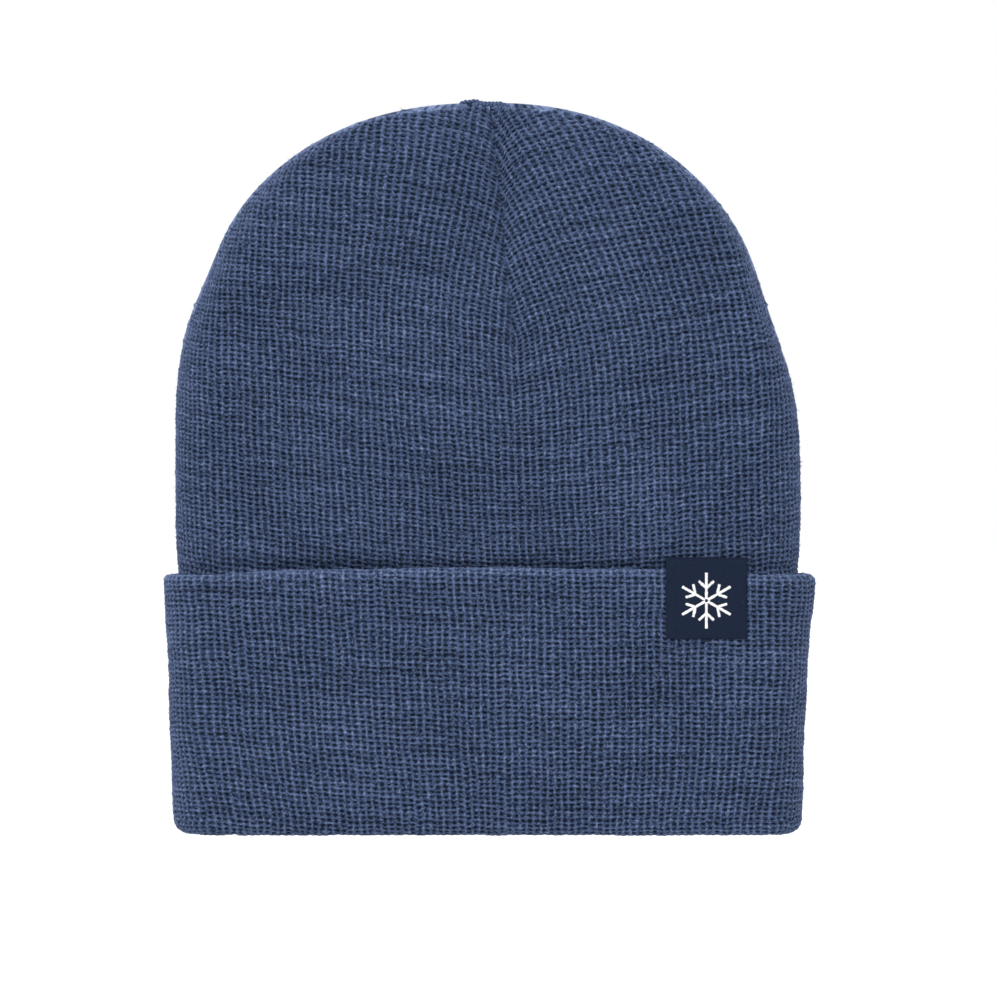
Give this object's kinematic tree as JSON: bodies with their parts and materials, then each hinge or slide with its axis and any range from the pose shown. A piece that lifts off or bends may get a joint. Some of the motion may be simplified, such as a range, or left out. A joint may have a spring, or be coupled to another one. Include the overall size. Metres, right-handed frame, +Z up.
{
  "type": "knit beanie",
  "caption": "Double-layer rib-knit beanie with a darted crown, a turned-up cuff that unfolds and a small woven label.",
  "frame": {"origin": "centre of the head opening, in the plane of the bottom fold", "axes": "+Z up to the crown, -Y to the front with the label, +X to the wearer's left, which is the right in a front view"},
  "size_m": [0.211, 0.0425, 0.2387],
  "materials": {
    "cap_knit": "slate blue heathered one-by-one rib knit, soft and matt with a faint fuzz",
    "cuff_knit": "slate blue heathered one-by-one rib knit, soft and matt with a faint fuzz",
    "knit_inner_face": "the knit's other face, same yarn, lying inside the cap and behind the cuff",
    "seam_yarn": "sewn dart edges in the same yarn",
    "closing_yarn": "knotted slate blue yarn",
    "label_weave": "tight navy damask weave with a slight sheen",
    "motif_yarn": "white woven thread",
    "label_thread": "dark navy sewing thread, matt"
  },
  "bodies": {
    "cap": {"outer_front": "cap_knit", "outer_back": "cap_knit", "outer_left": "cap_knit", "outer_right": "cap_knit", "gore_front_left": "cap_knit", "gore_front_right": "cap_knit", "gore_back_left": "cap_knit", "gore_back_right": "cap_knit", "dart_seam_front": "seam_yarn", "dart_seam_back": "seam_yarn", "dart_seam_left": "seam_yarn", "dart_seam_right": "seam_yarn", "crown_knot": "closing_yarn", "lining_front": "knit_inner_face", "lining_back": "knit_inner_face", "lining_left": "knit_inner_face", "lining_right": "knit_inner_face", "lining_gore_front_left": "knit_inner_face", "lining_gore_front_right": "knit_inner_face", "lining_gore_back_left": "knit_inner_face", "lining_gore_back_right": "knit_inner_face", "fold_front": "cuff_knit", "fold_back": "cuff_knit", "fold_left": "cuff_knit", "fold_right": "cuff_knit"},
    "cuff_front": {"cuff_front_outer": "cuff_knit", "cuff_front_inner": "knit_inner_face", "cuff_front_edge": "cuff_knit", "label": "label_weave", "label_motif": "motif_yarn", "label_tack": "label_thread"},
    "cuff_back": {"cuff_back_outer": "cuff_knit", "cuff_back_inner": "knit_inner_face", "cuff_back_edge": "cuff_knit"},
    "cuff_left": {"cuff_left_outer": "cuff_knit", "cuff_left_inner": "knit_inner_face", "cuff_left_edge": "cuff_knit"},
    "cuff_right": {"cuff_right_outer": "cuff_knit", "cuff_right_inner": "knit_inner_face", "cuff_right_edge": "cuff_knit"}
  },
  "joints": [
    {"name": "cuff_front_turn", "type": "hinge", "parent": "cap", "child": "cuff_front", "pos_m": [0, -0.0164, 0.0044], "axis": [1, 0, 0], "range_deg": [0, 180], "deforming": ["fold_front"]},
    {"name": "cuff_back_turn", "type": "hinge", "parent": "cap", "child": "cuff_back", "pos_m": [0, 0.0164, 0.0044], "axis": [1, 0, 0], "range_deg": [-180, 0], "deforming": ["fold_back"]},
    {"name": "cuff_left_drop", "type": "slide", "parent": "cap", "child": "cuff_left", "axis": [0, 0, -1], "range_m": [0, 0.0811], "deforming": ["fold_left"]},
    {"name": "cuff_right_drop", "type": "slide", "parent": "cap", "child": "cuff_right", "axis": [0, 0, -1], "range_m": [0, 0.0811], "deforming": ["fold_right"]}
  ],
  "couplings": [
    {"joint": "cuff_back_turn", "follows": "cuff_front_turn", "ratio": -1},
    {"joint": "cuff_left_drop", "follows": "cuff_front_turn", "m_per_rad": 0.02581},
    {"joint": "cuff_right_drop", "follows": "cuff_front_turn", "m_per_rad": 0.02581}
  ]
}
